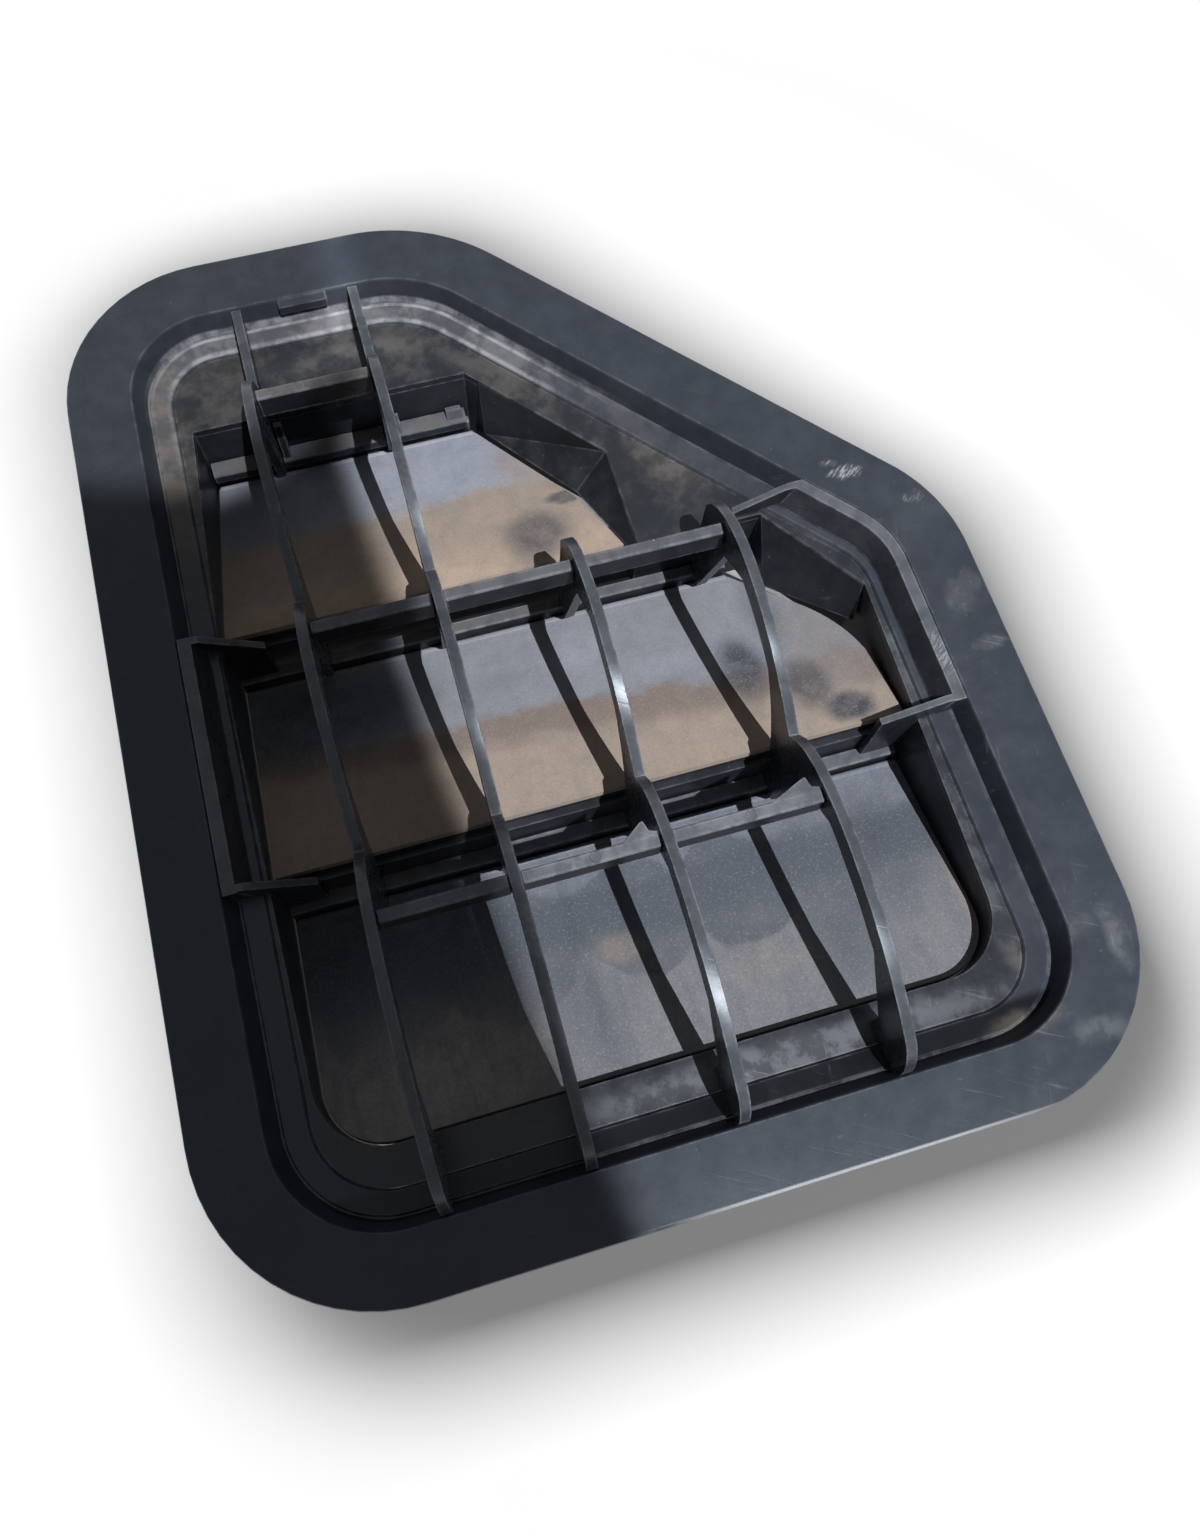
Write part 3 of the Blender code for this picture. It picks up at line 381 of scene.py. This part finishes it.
def flap_look(name, base, bands, stains_and_painted_light, slant=0.0, grainy=0.16):
    """Rubber flap with dust in bands along its hinge, smudges and tide marks, and patches of painted shade
    and painted light, in millimetres.

    A band turns the flap to its colour from one y to another. A stain is an oval: colour, x, y, half
    width, half height, amount and softness.
    """
    look = Look(name)
    far = look.wander(9 * MM, 7 * MM)
    near = look.wander(5 * MM, 2.2 * MM)
    cloud = look.noise(16 * MM, 4.0, 0.6)
    mottle = look.noise(4.5 * MM, 5.0, 0.65, shift=2.3)
    fine = look.noise(0.6 * MM, 3.0, 0.7)
    band_place = look.add(look.y, look.times(slant, look.x),
                          look.times(11 * MM, look.math("SUBTRACT", cloud, 0.5)),
                          look.times(3 * MM, look.math("SUBTRACT", mottle, 0.5)))
    colour = base
    for start, end, tone in bands:
        colour = look.mix(look.span(band_place, start * MM, end * MM), colour, tone)
    patchy = look.uneven(0.75, mottle, 0.35, 0.6)
    for tone, x, y, width, height, amount, softness in stains_and_painted_light:
        where = near if min(width, height) < SMALL_STAIN else far
        # Some patches are painted shade and painted light, as their lists say
        stain = look.patch(where, x, y, width, height, softness)
        colour = look.mix(look.times(stain, patchy, amount), colour, tone)

    shaded = look.span(look.add(look.times(0.6, mottle), look.times(0.4, fine)), 0.58, 0.36)
    colour = look.mix(look.times(shaded, 0.22), colour, FILM_AND_SHADE)
    streaks = look.noise(1.0, 4.0, 0.65, stretch=(300, 70, 120))
    grain = look.add(look.times(0.55, look.span(fine, 0.40, 0.62)),
                     look.times(0.45, look.span(streaks, 0.42, 0.66)))
    colour = look.mix(look.times(grain, grainy), colour, FILM_AND_SHADE)
    sparkle = look.noise(0.45 * MM, 2.0, 0.6, shift=6.6)
    colour = look.mix(look.times(look.span(sparkle, 0.54, 0.70), 0.20), colour, GRIT)
    colour = look.mix(look.times(look.span(sparkle, 0.46, 0.30), 0.20), colour, FILM_AND_SHADE)

    roughness = look.add(0.62, look.times(0.25, mottle))
    height = look.add(fine, look.times(1.5, mottle))
    return look.finish(base_color=colour, roughness=roughness, specular_ior_level=0.1,
                       normal=look.bump(height, 0.16, 0.2 * MM))


def foam_look(name):
    """Closed-cell foam of the seal."""
    look = Look(name)
    cells = look.node("ShaderNodeTexVoronoi", {"Vector": look.place, "Scale": 1 / (0.8 * MM)})
    cells = cells.outputs["Distance"]
    mottle = look.noise(6 * MM, 3.0, 0.6)
    colour = look.mix(look.span(cells, 0.2, 0.8), FOAM, FOAM_PALE)
    colour = look.mix(look.times(look.span(mottle, 0.5, 0.75), 0.4), colour, DUST)
    roughness = look.add(0.8, look.times(0.15, mottle))
    return look.finish(base_color=colour, roughness=roughness, normal=look.bump(cells, 0.5, 0.3 * MM))


UPPER_BANDS = ((51.5, 46.0, TAN_DUST), (38.0, 27.0, WARM_TAN))
UPPER_STAINS_AND_SHADE = (
    (TAN_DUST, 8, 55, 8, 9, 0.75, 0.5),
    (SMUDGE_AND_SHADE, 12.5, 42, 5, 2.0, 0.82, 0.35),
    (SMUDGE_AND_SHADE, 3, 33, 7, 6, 0.75, 0.5),
    (SMUDGE_AND_SHADE, 1, 27, 5, 4, 0.40, 0.5),
    (GREY_DUST, -58, 33, 3, 2.2, 0.35, 0.3),
    # Painted shade: a darker film over the flap's left end
    (FILM_AND_SHADE, -58, 56, 14, 8, 0.45, 0.6),
)
MIDDLE_BANDS = ((-4.0, -7.5, RUST), (-10.5, -16.0, TAN_DUST))
MIDDLE_STAINS_AND_SHADE = (
    (GREY_DUST, 5, 7, 7, 5, 0.45, 0.5),
    (GREY_DUST, 22, -2, 8, 3, 0.40, 0.5),
    (FILM_AND_SHADE, -14, 4, 5, 3, 0.22, 0.5),
    (GREY_TAN, 56, -6, 9, 16, 0.70, 0.5),
    (FILM_AND_SHADE, 47, 5, 4, 9, 0.45, 0.6),
    (RUST, 36, -18, 3, 3, 0.60, 0.5),
    (SMUDGE_AND_SHADE, 37.5, -8, 4.6, 7.5, 0.95, 0.5),
    (SMUDGE_AND_SHADE, 49, -16, 4.5, 6.5, 0.75, 0.5),
    (SMUDGE_AND_SHADE, 55.5, -24, 5.0, 3.6, 0.97, 0.45),
    # Painted shade: this film and smudge darken the flap's left end
    (FILM_AND_SHADE, -45, 6, 16, 8, 0.65, 0.6),
    (SMUDGE_AND_SHADE, -56, 7, 16, 11, 0.85, 0.6),
)
LOWER_BANDS = ((-60.0, -53.0, FILM_AND_SHADE), (-47.0, -42.5, HINGE_FILM))
LOWER_STAINS_SHADE_AND_LIGHT = (
    (FILM_AND_SHADE, 0, -53, 12.5, 13, 0.80, 0.05),
    (FILM_AND_SHADE, 21, -53, 12.5, 12.5, 0.85, 0.05),
    (FILM_AND_SHADE, -27, -54, 14, 14, 0.80, 0.05),
    (FILM_AND_SHADE, -52, -57, 13, 14, 0.75, 0.05),
    # Darker patches round the right rib
    (FILM_AND_SHADE, 39, -62, 7, 19, 0.80, 0.5),
    (FILM_AND_SHADE, 53, -56, 10, 11, 0.75, 0.5),
    (SMUDGE_AND_SHADE, -12.5, -60, 1.6, 19, 0.40, 0.7),
    (SMUDGE_AND_SHADE, -2, -47, 2.0, 9, 0.25, 0.7),
    (SMUDGE_AND_SHADE, 53, -47, 6, 7, 0.35, 0.6),
    # Painted shade: darkens the flap's top left
    (SMUDGE_AND_SHADE, -52, -42, 22, 8, 0.80, 0.6),
    (TAN_DUST, -5, -59, 5, 3, 0.45, 0.5),
    (TAN_DUST, 66, -68, 2.6, 13, 0.60, 0.5),
    (TAN_DUST, 22, -70, 8, 3, 0.22, 0.6),
    (WARM_TAN, -67, -72, 2.0, 5, 0.50, 0.5),
    # Painted light: makes the shaded lower left part paler
    (PAINTED_LIGHT_PALE, -48, -78, 28, 15, 0.85, 0.6),
    # Painted shade: a soft darker patch where the shaded left part fades out
    (FILM_AND_SHADE, -15, -72, 6, 14, 0.65, 0.8),
)
FLAP_RUBBER = {
    "flap_upper": flap_look("flap_upper_rubber", GREY_DUST, UPPER_BANDS, UPPER_STAINS_AND_SHADE),
    "flap_middle": flap_look("flap_middle_rubber", BLUE_GREY, MIDDLE_BANDS, MIDDLE_STAINS_AND_SHADE, slant=0.09),
    "flap_lower": flap_look("flap_lower_rubber", PALE_FILM, LOWER_BANDS, LOWER_STAINS_SHADE_AND_LIGHT, grainy=0.50),
}
SEAL_FOAM = foam_look("seal_foam_cells")


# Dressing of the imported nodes

WELD_REACH = 0.002 * MM
SHARP_ANGLE = math.radians(32)

# The first word of a node's name gives its material and its edge rounding in millimetres
FINISHES = {
    "frame": (FLANGE_PLASTIC, 0.25), "snap": (FLANGE_PLASTIC, 0.3), "flange": (SEAL_FOAM, 0.4),
    "ledge": (LEDGE_PLASTIC, 0.55), "tub": (SLOPE_PLASTIC, 0.3), "seat": (SLOPE_PLASTIC, 0.25),
    "riser": (SLOPE_PLASTIC, 0.25), "upper": (SLOPE_PLASTIC, 0.2), "middle": (SLOPE_PLASTIC, 0.2),
    "guard": (RIB_PLASTIC, 0.45), "crossbar": (GUARD_PLASTIC, 0.3), "left": (GUARD_PLASTIC, 0.35),
    "right": (GUARD_PLASTIC, 0.35), "hinge": (HINGE_PLASTIC, 0.2),
}
FLAP_EDGE = 0.25


def smooth_group():
    """Geometry nodes that shade a solid's faces smooth without a change to its mesh."""
    group = bpy.data.node_groups.new("smooth_faces", "GeometryNodeTree")
    group.interface.new_socket("Geometry", in_out="INPUT", socket_type="NodeSocketGeometry")
    group.interface.new_socket("Geometry", in_out="OUTPUT", socket_type="NodeSocketGeometry")
    start = group.nodes.new("NodeGroupInput")
    smooth = group.nodes.new("GeometryNodeSetShadeSmooth")
    end = group.nodes.new("NodeGroupOutput")
    group.links.new(start.outputs[0], smooth.inputs[0])
    group.links.new(smooth.outputs[0], end.inputs[0])
    return group


def round_edges(obj, width):
    """Rounds the sharp edges by a width in millimetres."""
    rounding = obj.modifiers.new("edge_round", "BEVEL")
    rounding.width = width * MM
    rounding.segments = 2
    rounding.limit_method = "ANGLE"
    rounding.angle_limit = SHARP_ANGLE
    rounding.use_clamp_overlap = True
    even = obj.modifiers.new("even_normals", "WEIGHTED_NORMAL")
    even.keep_sharp = False


def dress(obj, material, edge, smoothing):
    """Gives a solid its material and small rounded edges."""
    for slot in obj.material_slots:
        slot.link = "OBJECT"
        slot.material = material
    weld = obj.modifiers.new("join_faces", "WELD")
    weld.merge_threshold = WELD_REACH
    shade = obj.modifiers.new("smooth_faces", "NODES")
    shade.node_group = smoothing
    round_edges(obj, edge)


def dress_nodes():
    smoothing = smooth_group()
    for name, obj in nodes.items():
        if name in FLAP_RUBBER:
            dress(obj, FLAP_RUBBER[name], FLAP_EDGE, smoothing)
        else:
            material, edge = FINISHES[name.split("_")[0]]
            dress(obj, material, edge, smoothing)


# Small details on the guard

DETAIL_EDGE = 0.2
TAB_REACH = {"crossbar_lower_2": 5.0, "crossbar_lower_3": 8.0}
PIN_MARKS = (("crossbar_upper", -38.1), ("crossbar_middle_3", 20.9), ("crossbar_lower_2", -7.7),
             ("crossbar_lower_3", 21.3))
PIN_MARK_PROFILE = ((0.78, -0.02), (0.86, 0.07), (1.0, 0.07), (1.06, -0.15))
PIN_MARK_STEPS = 28
SHELF_OUTLINE = ((71.8, 9.45), (71.8, 12.9), (71.2, 13.0), (69.0, 12.4), (68.4, 11.8), (68.35, 9.6),
                 (69.9, 9.45))
SHELF_STRETCHES = ((-62.8, -49.2), (-46.8, -23.5), (-21.0, -4.2))
LUG_OUTLINE = ((71.7, 12.6), (71.7, 14.4), (70.6, 14.4), (69.4, 12.7))
LUG_STRETCH = (-8.6, -5.0)
STRUT_OUTLINE = ((71.9, 12.6), (71.9, 22.4), (70.7, 22.4), (69.0, 12.3))
STRUT_STRETCH = (-46.6, -44.8)
GUSSET_OUTLINE = ((71.8, 12.6), (71.8, 16.4), (71.2, 16.4), (68.9, 12.3))
GUSSET_STRETCH = (-20.9, -19.3)


def add_piece(name, shape, material, edge=0.0):
    """Turns a shape into a piece of the frame moulding."""
    bmesh.ops.recalc_face_normals(shape, faces=shape.faces[:])
    mesh = bpy.data.meshes.new(name)
    shape.to_mesh(mesh)
    shape.free()
    mesh.materials.append(material)
    mesh.shade_smooth()
    obj = bpy.data.objects.new(name, mesh)
    bpy.context.scene.collection.objects.link(obj)
    if edge:
        round_edges(obj, edge)
    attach(obj, "frame")


def drawn_out(first_end, last_end):
    """Block between two like outlines, whose points are in millimetres."""
    shape = bmesh.new()
    first, last = ([shape.verts.new(Vector(point) * MM) for point in end] for end in (first_end, last_end))
    shape.faces.new(first)
    shape.faces.new(last)
    for i in range(len(first)):
        j = (i + 1) % len(first)
        shape.faces.new((first[i], first[j], last[j], last[i]))
    return shape


def upright(outline, low, high):
    """Block with an XY outline between two heights."""
    return drawn_out([(x, y, low) for x, y in outline], [(x, y, high) for x, y in outline])


def crosswise(outline, left, right):
    """Block with a YZ outline between two places across the ribs."""
    return drawn_out([(left, y, z) for y, z in outline], [(right, y, z) for y, z in outline])


def crossbar_tabs():
    """Pointed tab behind the lower crossbar beside each of the two right ribs."""
    for number, (bar, reach) in enumerate(TAB_REACH.items(), start=1):
        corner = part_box(bar)[1] / MM
        end, back, top = corner.x, corner.y, corner.z
        outline = [(end - 2.2 - reach, back - 0.4), (end - 0.2, back - 0.4), (end - 0.2, back + 0.5),
                   (end - 1.6, back + 0.9), (end - 2.2, back + 2.9), (end - 2.8, back + 2.8)]
        tab = upright(outline, top - 1.5, top - 0.05)
        add_piece(f"crossbar_tab_{number}", tab, GUARD_PLASTIC, DETAIL_EDGE)


def pin_marks():
    """Round marks that the mould's pins leave on the crossbars."""
    for number, (bar, x) in enumerate(PIN_MARKS, start=1):
        low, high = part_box(bar)
        centre = Vector((x * MM, (low.y + high.y) / 2, high.z))
        shape = bmesh.new()
        rings = []
        for radius, rise in PIN_MARK_PROFILE:
            ring = []
            for step in range(PIN_MARK_STEPS):
                angle = 2 * math.pi * step / PIN_MARK_STEPS
                spot = Vector((math.cos(angle) * radius, math.sin(angle) * radius, rise)) * MM
                ring.append(shape.verts.new(centre + spot))
            rings.append(ring)
        shape.faces.new(rings[0])
        for inner, outer in zip(rings, rings[1:]):
            for i in range(PIN_MARK_STEPS):
                j = (i + 1) % PIN_MARK_STEPS
                shape.faces.new((inner[i], inner[j], outer[j], outer[i]))
        shape.faces.new(rings[-1][::-1])
        add_piece(f"ejector_mark_{number}", shape, RIB_PLASTIC)


def upper_hinge_details():
    """Shelf over the upper hinge between the ribs, with its lug, and the struts beside the ribs."""
    for number, stretch in enumerate(SHELF_STRETCHES, start=1):
        shelf = crosswise(SHELF_OUTLINE, *stretch)
        add_piece(f"hinge_shelf_{number}", shelf, HINGE_PLASTIC, DETAIL_EDGE)
    add_piece("hinge_shelf_lug", crosswise(LUG_OUTLINE, *LUG_STRETCH), HINGE_PLASTIC, DETAIL_EDGE)
    add_piece("rib_strut_1", crosswise(STRUT_OUTLINE, *STRUT_STRETCH), HINGE_PLASTIC, DETAIL_EDGE)
    add_piece("rib_strut_2", crosswise(GUSSET_OUTLINE, *GUSSET_STRETCH), HINGE_PLASTIC, DETAIL_EDGE)


# Camera, floor and light

PHOTO_HEIGHT = 1540.0
FOCAL_PIXELS = 1190.0
SENSOR = 36.0
CAMERA_PLACE = Matrix((
    (0.959884, 0.253908, -0.118972, -0.027922),
    (-0.278183, 0.915568, -0.290431, -0.093947),
    (0.035184, 0.311876, 0.949471, 0.249319),
    (0, 0, 0, 1),
))
WHITE = (1, 1, 1, 1)
FLOOR_RADIUS = 4.0
FLOOR_DROP = 0.0003
FLOOR_LAMP = (-0.0490, -0.0284, 0.1538)
FLOOR_LAMP_FALLOFF = 0.167
FLOOR_UNDER_LAMP = 0.107
FLOOR_PALEST = 0.95
FLOOR_MIDDLE = (-0.010, -0.015)
FLOOR_TURNS_WHITE = (0.165, 0.225)
SHADOW_GLOW = 0.21
WORLD_ON_OBJECT = 0.06


def make_camera():
    """The photograph's camera, fitted to the outline and the ribs."""
    data = bpy.data.cameras.new("photo_camera")
    data.sensor_width = SENSOR
    data.lens = FOCAL_PIXELS / PHOTO_HEIGHT * SENSOR
    data.clip_start = 0.001
    data.clip_end = 20.0
    camera = bpy.data.objects.new("photo_camera", data)
    camera.matrix_world = CAMERA_PLACE
    bpy.context.scene.collection.objects.link(camera)
    bpy.context.scene.camera = camera


def make_floor():
    """Pale floor that evens out its lamp's light, keeps the vent's shadow and is plain white further out."""
    shape = bmesh.new()
    bmesh.ops.create_circle(shape, cap_ends=True, segments=96, radius=FLOOR_RADIUS)
    mesh = bpy.data.meshes.new("floor")
    shape.to_mesh(mesh)
    shape.free()
    floor = bpy.data.objects.new("floor", mesh)
    floor.location.z = -FLOOR_DROP
    bpy.context.scene.collection.objects.link(floor)

    look = Look("floor_white")
    off_lamp = look.times(look.distance(*FLOOR_LAMP[:2]), 1 / FLOOR_LAMP_FALLOFF)
    evening = look.math("POWER", look.add(1.0, look.times(off_lamp, off_lamp)), 2.0)
    grain = look.add(0.985, look.times(0.03, look.noise(30 * MM, 3.0, 0.6)))
    grey = look.math("MINIMUM", look.times(FLOOR_UNDER_LAMP, evening, grain), FLOOR_PALEST)
    look.finish(base_color=look.mix(grey, (0, 0, 0, 1), WHITE), roughness=0.9, specular_ior_level=0.0)
    path = look.node("ShaderNodeLightPath").outputs
    shown = look.greatest(path["Is Camera Ray"], path["Is Glossy Ray"], path["Is Transmission Ray"])
    share = look.uneven(SHADOW_GLOW, look.distance(*FLOOR_MIDDLE), *FLOOR_TURNS_WHITE)
    glow = look.node("ShaderNodeEmission", {"Color": WHITE, "Strength": 1.0})
    mixed = look.node("ShaderNodeMixShader", {0: look.times(share, shown), 1: look.shader.outputs[0],
                                              2: glow.outputs[0]})
    look.tree.links.new(mixed.outputs[0], look.tree.nodes["Material Output"].inputs["Surface"])
    mesh.materials.append(look.material)


def add_lamp(name, kind, watts, place, target, receivers, **settings):
    """A lamp that lights only its receivers."""
    data = bpy.data.lights.new(name, kind)
    data.energy = watts
    for key, value in settings.items():
        setattr(data, key, value)
    lamp = bpy.data.objects.new(name, data)
    lamp.location = place
    lamp.rotation_euler = (Vector(target) - Vector(place)).to_track_quat("-Z", "Y").to_euler()
    lamp.visible_camera = False
    lamp.light_linking.receiver_collection = receivers
    bpy.context.scene.collection.objects.link(lamp)


def make_lights():
    """A key lamp from the lower right, whose cone leaves the left in shade, and a soft box for the sheen.

    A narrow lamp lights the corner that the shade leaves out, and the floor has a lamp for the shadow.
    """
    vent = bpy.data.collections.new("vent_lighting")
    ground = bpy.data.collections.new("floor_lighting")
    for obj in bpy.data.objects:
        if obj.type == "MESH":
            (ground if obj.name == "floor" else vent).objects.link(obj)
    add_lamp("key_light", "SPOT", 140.0, (0.29, -0.66, 1.60), (0.951, -0.021, 0.012), vent,
             shadow_soft_size=0.004, spot_size=math.radians(63.50), spot_blend=0.01)
    add_lamp("corner_light", "SPOT", 113.0, (0.22, -0.56, 1.60), (-0.070, 0.110, 0.028), vent,
             shadow_soft_size=0.004, spot_size=math.radians(3.45), spot_blend=0.3)
    add_lamp("soft_box", "AREA", 0.8, (0.50, 0.40, 1.10), (0.0, 0.0, 0.03), vent,
             shape="RECTANGLE", size=0.9, size_y=1.1)
    add_lamp("floor_light", "AREA", 2.55, FLOOR_LAMP, (*FLOOR_LAMP[:2], 0.0), ground,
             shape="RECTANGLE", size=0.1564, size_y=0.0973)


def make_world():
    """A world that is white to the camera and in reflections, and faint on the object."""
    world = bpy.data.worlds.new("studio")
    bpy.context.scene.world = world
    world.use_nodes = True
    tree = world.node_tree
    sky = tree.nodes["Background"]
    sky.inputs["Color"].default_value = WHITE
    path = tree.nodes.new("ShaderNodeLightPath")
    shown = path.outputs["Is Camera Ray"]
    for ray in ("Is Glossy Ray", "Is Transmission Ray"):
        either = tree.nodes.new("ShaderNodeMath")
        either.operation = "MAXIMUM"
        tree.links.new(shown, either.inputs[0])
        tree.links.new(path.outputs[ray], either.inputs[1])
        shown = either.outputs[0]
    level = tree.nodes.new("ShaderNodeMapRange")
    level.inputs["To Min"].default_value = WORLD_ON_OBJECT
    level.inputs["To Max"].default_value = 1.0
    tree.links.new(shown, level.inputs["Value"])
    tree.links.new(level.outputs["Result"], sky.inputs["Strength"])


dress_nodes()
crossbar_tabs()
pin_marks()
upper_hinge_details()
make_camera()
make_floor()
make_lights()
make_world()
bpy.context.scene.view_settings.view_transform = "Standard"
